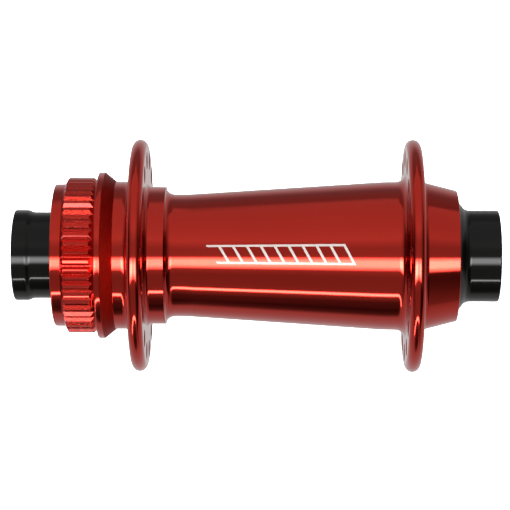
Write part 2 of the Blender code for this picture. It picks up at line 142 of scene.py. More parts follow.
def finished(piece, cadNode):
    # even shading on the flats beside each small edge
    weighted = piece.modifiers.new("evenShading", "WEIGHTED_NORMAL")
    weighted.keep_sharp = True
    weighted.weight = 100
    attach(piece, bodyOf(cadNode))
    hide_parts(cadNode)


def turnedPiece(name, section, steps, segments, material, sharpAngle=32):
    bm = turned(section, steps, segments)
    return placed(name, meshFrom(bm, name, [material]), sharpAngle)


def cutAway(piece, cutter):
    cut = piece.modifiers.new("cut", "BOOLEAN")
    cut.operation = "DIFFERENCE"
    cut.solver = "EXACT"
    cut.material_mode = "TRANSFER"
    cut.object = cutter
    view = bpy.context.evaluated_depsgraph_get()
    carved = bpy.data.meshes.new_from_object(piece.evaluated_get(view))
    piece.modifiers.remove(cut)
    old = piece.data
    piece.data = carved
    bpy.data.meshes.remove(old)
    bpy.data.objects.remove(cutter)


def startMaterial(name):
    material = bpy.data.materials.new(name)
    material.use_nodes = True
    return material, material.node_tree, material.node_tree.nodes["Principled BSDF"]


def node(tree, kind, **settings):
    made = tree.nodes.new(kind)
    for key, value in settings.items():
        setattr(made, key, value)
    return made


def maths(tree, operation, first, second=None, third=None):
    made = node(tree, "ShaderNodeMath", operation=operation)
    for socket, value in zip(made.inputs, (first, second, third)):
        if value is None:
            continue
        if isinstance(value, (int, float)):
            socket.default_value = value
        else:
            tree.links.new(value, socket)
    return made.outputs[0]


def mixColour(tree, factor, first, second):
    # the mix node's colour sockets are its inputs 6 and 7 and its output 2
    made = node(tree, "ShaderNodeMix", data_type="RGBA")
    tree.links.new(factor, made.inputs[0])
    for socket, value in ((made.inputs[6], first), (made.inputs[7], second)):
        if isinstance(value, tuple):
            socket.default_value = (*value, 1)
        else:
            tree.links.new(value, socket)
    return made.outputs[2]


def spread(tree, value, low, high):
    # a value from 0 to 1 becomes one from low to high
    made = node(tree, "ShaderNodeMapRange")
    tree.links.new(value, made.inputs[0])
    made.inputs[3].default_value = low
    made.inputs[4].default_value = high
    return made.outputs[0]


def surfacePlace(tree):
    return node(tree, "ShaderNodeTexCoord").outputs["Object"]


def turningRings(tree, place, perMetre):
    # fine rings left by the lathe, with no change around the part
    squeeze = node(tree, "ShaderNodeMapping")
    squeeze.inputs["Scale"].default_value = (0, perMetre, 0)
    tree.links.new(place, squeeze.inputs["Vector"])
    rings = node(tree, "ShaderNodeTexNoise")
    rings.inputs["Scale"].default_value = 1
    rings.inputs["Detail"].default_value = 3
    tree.links.new(squeeze.outputs[0], rings.inputs["Vector"])
    return rings.outputs[0]


def grains(tree, place, perMetre, detail):
    made = node(tree, "ShaderNodeTexNoise")
    made.inputs["Scale"].default_value = perMetre
    made.inputs["Detail"].default_value = detail
    tree.links.new(place, made.inputs["Vector"])
    return made.outputs[0]


def bumped(tree, shader, height, distance):
    bump = node(tree, "ShaderNodeBump")
    bump.inputs["Strength"].default_value = 1.0
    bump.inputs["Distance"].default_value = distance
    tree.links.new(height, bump.inputs["Height"])
    tree.links.new(bump.outputs[0], shader.inputs["Normal"])


redFinish = {
    "colour": (0.54, 0.020, 0.0075),
    "deepColour": (0.47, 0.015, 0.0055),
    "roughness": (0.06, 0.11),
    "coat": 0.3,
    "coatRoughness": 0.06,
    "coatIor": 1.60,
    "stretch": 0.55,
    "cloudsPerMetre": 60,
    "ringsPerMetre": 9000,
    "ringHeight": 0.0000006,
    "grainsPerMetre": 5000,
    "grainHeight": 0.0000008,
    # painted shade: a darker red for the milled faces between the teeth, also mixed into the spoke holes
    "milledShadeColour": (0.36, 0.017, 0.009),
    "milledDeepShadeColour": (0.25, 0.011, 0.006),
    "milledRoughness": (0.15, 0.26),
    "milledCoatRoughness": 0.16,
    "milledGrains": 3000,
    "milledDepth": 0.000060,
    # painted shade: a darker red for the spoke holes and the hollow behind the rotor stop
    "drilledShadeColour": (0.20, 0.006, 0.003),
    "drilledRoughness": (0.45, 0.60),
    "drilledDepth": 0.000016,
}

markValues = {  # laser mark on the barrel: two rails with slanted rungs, lengths in millimetres
    "middle": -5.6,
    "halfLength": 15.4,
    "halfHeight": 2.30,
    "rail": 0.50,
    "rungPitch": 3.08,
    "rungShare": 0.20,
    "slant": 0.55,
    "raised": 0.0174,  # an angle in radians
    "barrelRadius": 15.9,
    "frontOnly": 0.012,  # metres towards the front that the surface has to be
    "insideRadius": 0.0175,  # metres, which keeps the mark off the flanges
    "roughening": 0.35,
    "colour": (0.34, 0.30, 0.28),
}


def laserMark(tree, place):
    m = markValues
    split = node(tree, "ShaderNodeSeparateXYZ")
    tree.links.new(place, split.inputs[0])
    x, y, z = split.outputs
    outward = maths(tree, "MULTIPLY", x, -1.0)
    angle = maths(tree, "ARCTAN2", z, outward)
    up = maths(tree, "MULTIPLY", maths(tree, "SUBTRACT", angle, m["raised"]), m["barrelRadius"])
    along = maths(tree, "MULTIPLY_ADD", y, 1 / mm, -m["middle"])
    leaned = maths(tree, "MULTIPLY_ADD", up, -m["slant"], along)
    height = maths(tree, "ABSOLUTE", up)
    inHeight = maths(tree, "LESS_THAN", height, m["halfHeight"])
    inLength = maths(tree, "LESS_THAN", maths(tree, "ABSOLUTE", leaned), m["halfLength"])
    rails = maths(tree, "GREATER_THAN", height, m["halfHeight"] - m["rail"])
    fromStart = maths(tree, "ADD", leaned, m["halfLength"])
    pitches = maths(tree, "FLOORED_MODULO", fromStart, m["rungPitch"])
    rungs = maths(tree, "LESS_THAN", pitches, m["rungShare"] * m["rungPitch"])
    marked = maths(tree, "MAXIMUM", rails, rungs)
    onFront = maths(tree, "GREATER_THAN", outward, m["frontOnly"])
    fromAxis = maths(tree, "ADD", maths(tree, "MULTIPLY", x, x), maths(tree, "MULTIPLY", z, z))
    onBarrel = maths(tree, "LESS_THAN", fromAxis, m["insideRadius"] ** 2)
    inStripe = maths(tree, "MULTIPLY", inHeight, inLength)
    inPlace = maths(tree, "MULTIPLY", onFront, onBarrel)
    return maths(tree, "MULTIPLY", maths(tree, "MULTIPLY", marked, inStripe), inPlace)


def stretchAlongAxis(tree, shader, amount):
    # turning grooves smear a reflection along the hub's axis
    quarterTurn = 0.25
    shader.inputs["Anisotropic"].default_value = amount
    shader.inputs["Anisotropic Rotation"].default_value = quarterTurn
    tangent = node(tree, "ShaderNodeTangent", direction_type="RADIAL", axis="Y")
    tree.links.new(tangent.outputs[0], shader.inputs["Tangent"])


def makeRedAnodised():
    f = redFinish
    material, tree, shader = startMaterial("redAnodised")
    place = surfacePlace(tree)
    clouds = grains(tree, place, f["cloudsPerMetre"], 3)
    red = mixColour(tree, clouds, f["deepColour"], f["colour"])
    rings = turningRings(tree, place, f["ringsPerMetre"])
    mark = laserMark(tree, place)
    tree.links.new(mixColour(tree, mark, red, markValues["colour"]), shader.inputs["Base Color"])
    satin = spread(tree, rings, *f["roughness"])
    roughness = maths(tree, "MULTIPLY_ADD", mark, markValues["roughening"], satin)
    tree.links.new(roughness, shader.inputs["Roughness"])
    tree.links.new(maths(tree, "SUBTRACT", 1.0, mark), shader.inputs["Metallic"])
    shader.inputs["Coat Weight"].default_value = f["coat"]
    shader.inputs["Coat Roughness"].default_value = f["coatRoughness"]
    shader.inputs["Coat IOR"].default_value = f["coatIor"]
    stretchAlongAxis(tree, shader, f["stretch"])
    grain = grains(tree, place, f["grainsPerMetre"], 2)
    height = maths(tree, "MULTIPLY_ADD", grain, f["grainHeight"] / f["ringHeight"], rings)
    bumped(tree, shader, height, f["ringHeight"])
    return material


def makeRedMilledAndShaded():
    # the milled faces between the teeth, whose darker colour is painted shade in the gaps
    f = redFinish
    material, tree, shader = startMaterial("redMilledAndShaded")
    place = surfacePlace(tree)
    grain = grains(tree, place, f["milledGrains"], 3)
    cut = mixColour(tree, grain, f["milledDeepShadeColour"], f["milledShadeColour"])
    tree.links.new(cut, shader.inputs["Base Color"])
    tree.links.new(spread(tree, grain, *f["milledRoughness"]), shader.inputs["Roughness"])
    shader.inputs["Metallic"].default_value = 1.0
    shader.inputs["Coat Weight"].default_value = f["coat"]
    shader.inputs["Coat Roughness"].default_value = f["milledCoatRoughness"]
    shader.inputs["Coat IOR"].default_value = f["coatIor"]
    bumped(tree, shader, grain, f["milledDepth"])
    return material


def makeRedDrilledAndShaded():
    # the spoke holes and the hollow behind the rotor stop, rougher than the rest, with a darker colour
    # that is painted shade in these recesses
    f = redFinish
    material, tree, shader = startMaterial("redDrilledAndShaded")
    grain = grains(tree, surfacePlace(tree), f["milledGrains"], 3)
    cut = mixColour(tree, grain, f["drilledShadeColour"], f["milledShadeColour"])
    tree.links.new(cut, shader.inputs["Base Color"])
    tree.links.new(spread(tree, grain, *f["drilledRoughness"]), shader.inputs["Roughness"])
    shader.inputs["Metallic"].default_value = 1.0
    bumped(tree, shader, grain, f["drilledDepth"])
    return material


turnedFinishes = {
    "blackAnodised": {
        "colours": ((0.0008, 0.0009, 0.0007), (0.0016, 0.0018, 0.0014)),
        "roughness": (0.07, 0.12),
        "metallic": 0.0,
        "ringsPerMetre": 7000,
        "ior": 1.31,
    },
    "silverAluminium": {
        "colours": ((0.70, 0.70, 0.71), (0.82, 0.82, 0.83)),
        "roughness": (0.22, 0.36),
        "metallic": 1.0,
        "ringsPerMetre": 6000,
        "ior": 1.5,
    },
    "bearingSteel": {
        "colours": ((0.52, 0.52, 0.53), (0.62, 0.62, 0.62)),
        "roughness": (0.16, 0.28),
        "metallic": 1.0,
        "ringsPerMetre": 8000,
        "ior": 1.5,
    },
}
turnedGrain = {
    "cloudsPerMetre": 90,
    "grainsPerMetre": 5000,
    "grainShare": 0.6,  # the grain's height beside the rings'
    "ringHeight": 0.0000008,
    "stretch": 0.4,
}

plainFinishes = {
    "ballSteel": {
        "colours": ((0.68, 0.68, 0.69), (0.76, 0.76, 0.77)),
        "roughness": (0.05, 0.09),
        "metallic": 1.0,
        "grainsPerMetre": 4000,
        "grainHeight": 0.0000003,
    },
    "cageNylon": {
        "colours": ((0.52, 0.46, 0.33), (0.66, 0.60, 0.46)),
        "roughness": (0.42, 0.55),
        "metallic": 0.0,
        "grainsPerMetre": 3000,
        "grainHeight": 0.000004,
    },
    "sealRubber": {
        "colours": ((0.014, 0.014, 0.015), (0.024, 0.024, 0.025)),
        "roughness": (0.45, 0.62),
        "metallic": 0.0,
        "grainsPerMetre": 4500,
        "grainHeight": 0.000005,
    },
}
plainCloudsPerMetre = 250


def makeTurnedMetal(name):
    f, g = turnedFinishes[name], turnedGrain
    material, tree, shader = startMaterial(name)
    place = surfacePlace(tree)
    rings = turningRings(tree, place, f["ringsPerMetre"])
    clouds = grains(tree, place, g["cloudsPerMetre"], 3)
    tree.links.new(mixColour(tree, clouds, *f["colours"]), shader.inputs["Base Color"])
    tree.links.new(spread(tree, rings, *f["roughness"]), shader.inputs["Roughness"])
    shader.inputs["Metallic"].default_value = f["metallic"]
    shader.inputs["IOR"].default_value = f["ior"]
    stretchAlongAxis(tree, shader, g["stretch"])
    grain = grains(tree, place, g["grainsPerMetre"], 2)
    bumped(tree, shader, maths(tree, "MULTIPLY_ADD", grain, g["grainShare"], rings), g["ringHeight"])
    return material


def makePlainGrain(name):
    f = plainFinishes[name]
    material, tree, shader = startMaterial(name)
    place = surfacePlace(tree)
    grain = grains(tree, place, f["grainsPerMetre"], 4)
    clouds = grains(tree, place, plainCloudsPerMetre, 2)
    tree.links.new(mixColour(tree, clouds, *f["colours"]), shader.inputs["Base Color"])
    tree.links.new(spread(tree, grain, *f["roughness"]), shader.inputs["Roughness"])
    shader.inputs["Metallic"].default_value = f["metallic"]
    bumped(tree, shader, grain, f["grainHeight"])
    return material


redAnodised = makeRedAnodised()
redMilledAndShaded = makeRedMilledAndShaded()
redDrilledAndShaded = makeRedDrilledAndShaded()
blackAnodised, silverAluminium, bearingSteel = map(makeTurnedMetal, turnedFinishes)
ballSteel, cageNylon, sealRubber = map(makePlainGrain, plainFinishes)
print("materials made")

shellValues = {  # lengths and radii in millimetres, angles in degrees
    "steps": 324,
    "edge": 0.12,  # small rounding left on the turned edges
    "fineEdge": 0.1,
    "fineEdgeSegments": 2,
    "rimSegments": 14,
    "filletSegments": 8,
    "sharpAngle": 30,
    "noseLength": 17.6,
    "noseWall": 1.35,
    "noseBoreOverSeat": 0.55,
    "noseChamfer": 0.3,
    "noseEdge": 0.3,
    "noseLead": 2.3,  # plain length before the spline's sloping start
    "splineFromEnd": 3.1,
    "splineOverNose": 1.45,
    "stopFromEnd": 9.9,
    "stopOverSpline": 1.29,
    "stopThickness": 1.35,
    "stopLength": 3.95,  # with the hollow behind it
    "stopRounding": 0.33,
    "stopFoot": 0.1,
    "hollowEdge": 0.2,
    "undercutStart": 0.3,
    "undercutLength": 1.1,
    "undercutDepth": 0.8,
    "neckWall": 2.5,
    "neckFillet": 1.8,
    "seatDepth": 1.9,
    "discFlangeWidth": 3.35,
    "plainFlangeWidth": 3.4,
    "discRimLower": 0.05,
    "stepWall": 3.25,
    "stepLength": 4.25,
    "stepFillet": 1.0,
    "barrelFillet": 2.2,
    "barrelBend": 1.5,
    "thinWall": 1.5,
    "thinLength": 4.6,
    "thickWall": 4.47,
    "thickLength": 4.65,
    "tailLength": 8.3,
    "tailWall": 2.7,
    "tailFillet": 1.3,
    "tailEndWall": 0.57,
    "tailEdge": 0.2,
    "tailBoreEdge": 0.15,
    "dullShadeFrom": 1.45,  # behind the rotor stop's face, where the painted shade goes
    "dullShadeTo": 3.9,
    "dullShadeRadius": 14.5,
    "teeth": 54,
    "toothPhase": -4.8,
    "toothChamfer": 0.025,
    "toothHeight": 0.70,
    "toothFromEnd": 1.3,
    "gapAtTip": 1.50,
    "gapAtRoot": 0.12,
    "gapReach": 0.05,  # past the tips, short of the neighbouring gaps
    "chamferFlare": 2.75,
    "holes": 16,
    "holeSteps": 32,
    "holeRadius": 1.3,
    "sinkRadius": 2.0,
    "sinkDepth": 0.6,
    "holeFromRim": 4.5,
    "discHolePhase": 9.75,
    "plainHolePhase": -1.5,
    "threadStart": 0.6,
    "threadPitch": 0.75,
    "threadDepth": 0.25,
    "threadTurns": 8,
    "threadShares": (0.30, 0.55, 0.85),  # where a turn's flank, crest and other flank end
}

seatRadius = endsOf("disc_side_bearing_outer_ring")[2] + clearance
tailEnd, noseEnd, plainRim = endsOf("hub_shell")
outerLand = seatRadius - shellValues["seatDepth"]
discBearingLow, discBearingHigh, _ = endsOf("disc_side_bearing_outer_ring")
plainBearingHigh = endsOf("plain_side_bearing_outer_ring")[1]
noseBore = seatRadius + shellValues["noseBoreOverSeat"]
noseRadius = noseBore + shellValues["noseWall"]
splineTip = noseRadius + shellValues["splineOverNose"]
stopFace = noseEnd - shellValues["stopFromEnd"]
discFlangeOuter = noseEnd - shellValues["noseLength"]
discFlangeInner = discFlangeOuter - shellValues["discFlangeWidth"]
plainFlangeOuter = tailEnd + shellValues["tailLength"]
plainFlangeInner = plainFlangeOuter + shellValues["plainFlangeWidth"]
discRim = plainRim - shellValues["discRimLower"]


def threadGrooves(v, start):
    # the lockring's thread, from the nose's open end inwards
    points = []
    flankEnd, crestEnd, otherEnd = v["threadShares"]
    for turn in range(v["threadTurns"]):
        y = start - turn * v["threadPitch"]
        points.append((y, noseBore))
        points.append((y - flankEnd * v["threadPitch"], noseBore + v["threadDepth"]))
        points.append((y - crestEnd * v["threadPitch"], noseBore + v["threadDepth"]))
        points.append((y - otherEnd * v["threadPitch"], noseBore))
    return points


def shellSection(v):
    # each corner's third value is its rounding
    edge = v["edge"]
    stop = splineTip + v["stopOverSpline"]
    neck = seatRadius + v["neckWall"]
    step = outerLand + v["stepWall"]
    thin = outerLand + v["thinWall"]
    thick = outerLand + v["thickWall"]
    stepEnd = discFlangeInner - v["stepLength"]
    discHalf = (discFlangeOuter - discFlangeInner) / 2
    plainHalf = (plainFlangeInner - plainFlangeOuter) / 2
    return [
        (noseEnd, noseBore + v["noseChamfer"], v["fineEdge"]),
        (noseEnd, noseRadius, v["noseEdge"]),
        (noseEnd - v["noseLead"], noseRadius),
        (noseEnd - v["splineFromEnd"], splineTip, edge),
        (stopFace + v["undercutLength"], splineTip, edge),
        (stopFace + v["undercutStart"], splineTip - v["undercutDepth"], v["fineEdge"]),
        (stopFace, splineTip + v["stopFoot"]),
        (stopFace, stop, v["stopRounding"]),
        (stopFace - v["stopThickness"], stop, edge),
        (stopFace - v["stopLength"], neck, v["hollowEdge"]),
        (discFlangeOuter, neck, v["neckFillet"]),
        (discFlangeOuter, discRim, discHalf),
        (discFlangeInner, discRim, discHalf),
        (discFlangeInner, step, v["stepFillet"]),
        (stepEnd, step, edge),
        (stepEnd, thin, v["barrelFillet"]),
        (stepEnd - v["thinLength"], thin, v["barrelBend"]),
        (plainFlangeInner + v["thickLength"], thick, v["barrelBend"]),
        (plainFlangeInner, thick, v["barrelFillet"]),
        (plainFlangeInner, plainRim, plainHalf),
        (plainFlangeOuter, plainRim, plainHalf),
        (plainFlangeOuter, seatRadius + v["tailWall"], v["tailFillet"]),
        (tailEnd, seatRadius + v["tailEndWall"], v["tailEdge"]),
        (tailEnd, seatRadius, v["tailBoreEdge"]),
        (plainBearingHigh + clearance, seatRadius),
        (plainBearingHigh + clearance, outerLand, edge),
        (discBearingLow - clearance, outerLand, edge),
        (discBearingLow - clearance, seatRadius),
        (discBearingHigh + clearance, seatRadius),
        (discBearingHigh + clearance, noseBore),
        *reversed(threadGrooves(v, noseEnd - v["threadStart"])),
    ]


def gapCutter(v):
    # one wedge between two teeth, flared at the top so that it leaves a small chamfer, then copied round
    chamfer = v["toothChamfer"]
    flankEnd = v["gapAtTip"] / 2 - chamfer
    rows = [
        (splineTip - v["toothHeight"], v["gapAtRoot"] / 2),
        (splineTip - chamfer, flankEnd),
        (splineTip + v["gapReach"], flankEnd + (chamfer + v["gapReach"]) * v["chamferFlare"]),
    ]
    bm = bmesh.new()
    outline = [(r, -half) for r, half in rows] + [(r, half) for r, half in reversed(rows)]
    low = stopFace + v["undercutStart"]
    length = noseEnd - v["toothFromEnd"] - low
    verts = [bm.verts.new((side * mm, low * mm, r * mm)) for r, side in outline]
    face = bm.faces.new(verts)
    pushed = bmesh.ops.extrude_face_region(bm, geom=[face])
    moved = [g for g in pushed["geom"] if isinstance(g, bmesh.types.BMVert)]
    bmesh.ops.translate(bm, verts=moved, vec=(0, length * mm, 0))
    halfPitch = math.pi / v["teeth"]
    start = math.radians(v["toothPhase"]) + halfPitch
    bmesh.ops.rotate(
        bm, verts=bm.verts[:], cent=(0, 0, 0), matrix=Matrix.Rotation(start - math.pi / 2, 3, "Y")
    )
    copyRound(bm, v["teeth"])
    return bm


def copyRound(bm, count):
    bmesh.ops.spin(
        bm, geom=bm.verts[:] + bm.edges[:] + bm.faces[:], cent=(0, 0, 0), axis=(0, 1, 0),
        angle=2 * math.pi * (count - 1) / count, steps=count - 1, use_duplicate=True,
    )  # fmt: skip
    bmesh.ops.recalc_face_normals(bm, faces=bm.faces[:])


def holeCutter(v, outer, inner, rim, phase):
    # one countersunk spoke hole, turned about its own axis and copied round the flange
    middle = (outer + inner) / 2
    half = abs(outer - inner) / 2
    slope = (v["sinkRadius"] - v["holeRadius"]) / v["sinkDepth"]
    beyond = 1.0  # what the cutter reaches past each face
    wide = v["sinkRadius"] + slope * beyond
    section = [
        (-half - beyond, 0),
        (-half - beyond, wide),
        (v["sinkDepth"] - half, v["holeRadius"]),
        (half - v["sinkDepth"], v["holeRadius"]),
        (half + beyond, wide),
        (half + beyond, 0),
    ]
    bm = bmesh.new()
    verts = [bm.verts.new((0, (middle + y) * mm, r * mm)) for y, r in section]
    edges = [bm.edges.new(pair) for pair in zip(verts, verts[1:])]
    bmesh.ops.spin(
        bm, geom=verts + edges, cent=(0, 0, 0), axis=(0, 1, 0),
        angle=2 * math.pi, steps=v["holeSteps"], use_merge=True,
    )  # fmt: skip
    bmesh.ops.remove_doubles(bm, verts=bm.verts[:], dist=sameSpot)
    angle = math.radians(phase)
    reach = (rim - v["holeFromRim"]) * mm
    bmesh.ops.translate(
        bm, verts=bm.verts[:], vec=(-math.cos(angle) * reach, 0, math.sin(angle) * reach)
    )
    copyRound(bm, v["holes"])
    return bm


def dullAndShadedHollow(v, shell):
    # the hollow behind the rotor stop takes the holes' rough material, whose darker colour is painted
    # shade
    dullAndShaded = shell.data.materials.find("redDrilledAndShaded")
    for face in shell.data.polygons:
        behind = stopFace - face.center.y / mm
        radius = math.hypot(face.center.x, face.center.z) / mm
        if v["dullShadeFrom"] < behind < v["dullShadeTo"] and radius > v["dullShadeRadius"]:
            face.material_index = dullAndShaded


def buildShell(v):
    segments = {"small": 3, v["fineEdge"]: v["fineEdgeSegments"]}
    for name in ("stepFillet", "tailFillet", "barrelBend", "neckFillet", "barrelFillet"):
        segments[v[name]] = v["filletSegments"]
    segments[(discFlangeOuter - discFlangeInner) / 2] = v["rimSegments"]
    segments[(plainFlangeInner - plainFlangeOuter) / 2] = v["rimSegments"]
    bm = turned(shellSection(v), v["steps"], segments, math.radians(v["toothPhase"]) - math.pi / 2)
    shell = placed("hubShell", meshFrom(bm, "hubShell", [redAnodised]))
    cutters = [
        (gapCutter(v), redMilledAndShaded),
        (holeCutter(v, discFlangeOuter, discFlangeInner, discRim, v["discHolePhase"]), redDrilledAndShaded),
        (holeCutter(v, plainFlangeOuter, plainFlangeInner, plainRim, v["plainHolePhase"]), redDrilledAndShaded),
    ]
    for bm, material in cutters:
        cutAway(shell, placed("shellCutter", meshFrom(bm, "shellCutter", [material])))
    dullAndShadedHollow(v, shell)
    shell.data.shade_smooth()
    shell.data.set_sharp_from_angle(angle=math.radians(v["sharpAngle"]))
    finished(shell, "hub_shell")


buildShell(shellValues)
print("hub shell made")

axleValues = {
    "steps": 192,
    "bore": 7.55,
    "boreEdge": 0.15,
    "shoulderHeight": 1.6,
    "shoulderEdge": 0.3,
    "endChamfer": 0.25,
}


def buildAxle(v):
    low, high, shoulder = endsOf("axle")
    tube = shoulder - v["shoulderHeight"]
    section = [
        (high, v["bore"], v["boreEdge"]),
        (high, tube, v["endChamfer"]),
        (discBearingLow - clearance, tube),
        (discBearingLow - clearance, shoulder, v["shoulderEdge"]),
        (plainBearingHigh + clearance, shoulder, v["shoulderEdge"]),
        (plainBearingHigh + clearance, tube),
        (low, tube, v["endChamfer"]),
        (low, v["bore"], v["boreEdge"]),
    ]
    piece = turnedPiece("axleTube", section, v["steps"], {"small": 3}, silverAluminium)
    finished(piece, "axle")


buildAxle(axleValues)

bearingValues = {
    "steps": 144,
    "ringEdge": 0.3,
    "landEdge": 0.15,
    "seatEdge": 0.1,
    "ballRadius": 1.5875,
    "ballSteps": (24, 16),
    "grooveRadius": 1.72,
    "grooveSteps": 16,
    "balls": 12,
    "cageHalfWidth": 2.4,
    "cageEdge": 0.1,
    "cageSharpAngle": 35,
    "pocketGap": 0.2,
    "pocketSteps": 32,
    "pocketLength": 6,
    "landWall": 1.6,
    "sealEdge": 0.08,
    "sealBeadEdge": 0.05,
    "sealGrooveShare": 0.45,  # of the seal's thickness
    "sealInnerBead": 0.35,
    "sealGrooveStart": 0.50,
    "sealGrooveEnd": 0.75,
    "sealOuterBead": 0.60,
}


def ringSection(v, inside, outside, half, grooved):
    # a ring with rounded corners and a ball groove on the side named by grooved
    pitch = (endsOf("disc_side_bearing_inner_ring")[2] + outerLand) / 2
    land = outside if grooved == "outside" else inside
    away = -1 if grooved == "outside" else 1
    reach = math.acos(abs(land - pitch) / v["grooveRadius"])
    halfSteps = v["grooveSteps"] // 2
    groove = [
        (v["grooveRadius"] * math.sin(a), pitch + away * v["grooveRadius"] * math.cos(a))
        for a in (reach * (k / halfSteps - 1) for k in range(v["grooveSteps"] + 1))
    ]
    edge, landEdge, seatEdge = v["ringEdge"], v["landEdge"], v["seatEdge"]
    if grooved == "outside":
        return [
            (half, inside, edge),
            (half, outside, landEdge),
            *reversed(groove),
            (-half, outside, landEdge),
            (-half, inside, edge),
        ]
    lip = v["cageHalfWidth"]
    seat = inside + clearance
    return [
        (half, seat, seatEdge),
        (half, outside, edge),
        (-half, outside, edge),
        (-half, seat, seatEdge),
        (-lip, seat),
        (-lip, inside),
        *groove,
        (lip, inside),
        (lip, seat),
    ]


def shifted(corners, middle):
    return [(corner[0] + middle, *corner[1:]) for corner in corners]


def buildBearing(v, side):
    low, high, outside = endsOf(f"{side}_bearing_outer_ring")
    middle, half = (low + high) / 2, (high - low) / 2
    innerLand = endsOf(f"{side}_bearing_inner_ring")[2]
    bore = innerLand - v["landWall"]
    rings = {
        "outer_ring": ringSection(v, outerLand, outside, half, "inside"),
        "inner_ring": ringSection(v, bore, innerLand, half, "outside"),
    }
    for name, section in rings.items():
        cadNode = f"{side}_bearing_{name}"
        moved = shifted(section, middle)
        piece = turnedPiece(pieceName(cadNode), moved, v["steps"], {"small": 3}, bearingSteel)
        finished(piece, cadNode)
    for name in ("outer_seal", "inner_seal"):
        buildBearingSeal(v, side, f"{side}_bearing_{name}", middle)
    buildCage(v, side, middle)
    buildBalls(v, side, middle, (innerLand + outerLand) / 2)


def buildBearingSeal(v, side, cadNode, middle):
    # a flat rubber washer with a raised bead and a groove around it
    low, high, outside = endsOf(cadNode)
    inside = endsOf(f"{side}_bearing_inner_ring")[2] + clearance
    face, back = (high, low) if middleOf(cadNode) > middle else (low, high)
    sunk = face + (back - face) * v["sealGrooveShare"]
    edge, beadEdge = v["sealEdge"], v["sealBeadEdge"]
    section = [
        (back, inside, edge),
        (face, inside, edge),
        (face, inside + v["sealInnerBead"], beadEdge),
        (sunk, inside + v["sealGrooveStart"], beadEdge),
        (sunk, outside - v["sealGrooveEnd"], beadEdge),
        (face, outside - v["sealOuterBead"], beadEdge),
        (face, outside, edge),
        (back, outside, edge),
    ]
    piece = turnedPiece(pieceName(cadNode), section, v["steps"], {"small": 2}, sealRubber)
    finished(piece, cadNode)


def buildCage(v, side, middle):
    cadNode = f"{side}_bearing_cage"
    low, high, outside = endsOf(cadNode)
    inside = endsOf(f"{side}_bearing_inner_ring")[2] + clearance
    corners = ((high, inside), (high, outside), (low, outside), (low, inside))
    section = [(*corner, v["cageEdge"]) for corner in corners]
    cage = turnedPiece(pieceName(cadNode), section, v["steps"], {"small": 2}, cageNylon)
    pockets = bmesh.new()
    pocketRadius = (v["ballRadius"] + v["pocketGap"]) * mm
    bmesh.ops.create_cone(
        pockets, cap_ends=True, segments=v["pocketSteps"], radius1=pocketRadius,
        radius2=pocketRadius, depth=v["pocketLength"] * mm,
    )  # fmt: skip
    bmesh.ops.rotate(
        pockets, verts=pockets.verts[:], cent=(0, 0, 0), matrix=Matrix.Rotation(math.pi / 2, 3, "Y")
    )
    bmesh.ops.translate(
        pockets, verts=pockets.verts[:], vec=((inside + outside) / 2 * mm, middle * mm, 0)
    )
    copyRound(pockets, v["balls"])
    cutAway(cage, placed("pocketCutter", meshFrom(pockets, "pockets", [cageNylon])))
    cage.data.shade_smooth()
    cage.data.set_sharp_from_angle(angle=math.radians(v["cageSharpAngle"]))
    finished(cage, cadNode)


def buildBalls(v, side, middle, pitch):
    around, over = v["ballSteps"]
    for k in range(v["balls"]):
        angle = 2 * math.pi * k / v["balls"]
        bm = bmesh.new()
        bmesh.ops.create_uvsphere(
            bm, u_segments=around, v_segments=over, radius=v["ballRadius"] * mm
        )
        bmesh.ops.translate(
            bm, verts=bm.verts[:],
            vec=(pitch * math.cos(angle) * mm, middle * mm, pitch * math.sin(angle) * mm),
        )  # fmt: skip
        cadNode = f"{side}_bearing_ball_{k + 1:02d}"
        piece = placed(pieceName(cadNode), meshFrom(bm, pieceName(cadNode), [ballSteel]), 60)
        finished(piece, cadNode)


for side in ("disc_side", "plain_side"):
    buildBearing(bearingValues, side)
print("bearings made")

capValues = {
    "steps": 216,
    "faceChamfer": 0.4,
    "bore": 7.55,
    "boreChamfer": 0.25,
    "boreEndEdge": 0.1,
    "axleGap": 0.3,
    "oringRadius": 0.5,
    "oringSteps": 16,
    "grooveWidth": 1.6,
    "grooveWall": 0.3,
    "grooveEdge": 0.08,
    "shield": 1.2,
    "shieldEdge": 0.2,
    "shieldInnerEdge": 0.1,
    "shieldLandEdge": 0.15,
    "coneTopEdge": 0.25,
    "coneEdge": 0.4,
    "neckWall": 1.32,
    "neckStart": 2.2,
    "neckFillet": 0.5,
    "lipHeight": 0.5,
    "lipLength": 3.1,
    "lipTaper": 1.1,
    "lipEdge": 0.35,
    "straightWall": 1.9,
    "flareRim": 0.5,
    "flareAngle": 50.0,
    "flareFillet": 0.8,
    "sealEdge": 0.08,
    "sealLipWidth": 1.1,
    "sealSunkWidth": 0.8,
    "sealSunkDepth": 0.2,
    "sealSunkEdge": 0.05,
    "sealLipEdge": 0.06,
}


def capTube(v):
    # radius of the cap's bore over the axle's ends
    return endsOf("axle")[2] - axleValues["shoulderHeight"] + v["axleGap"]


def oringMiddle(v):
    return capTube(v) + v["oringRadius"]


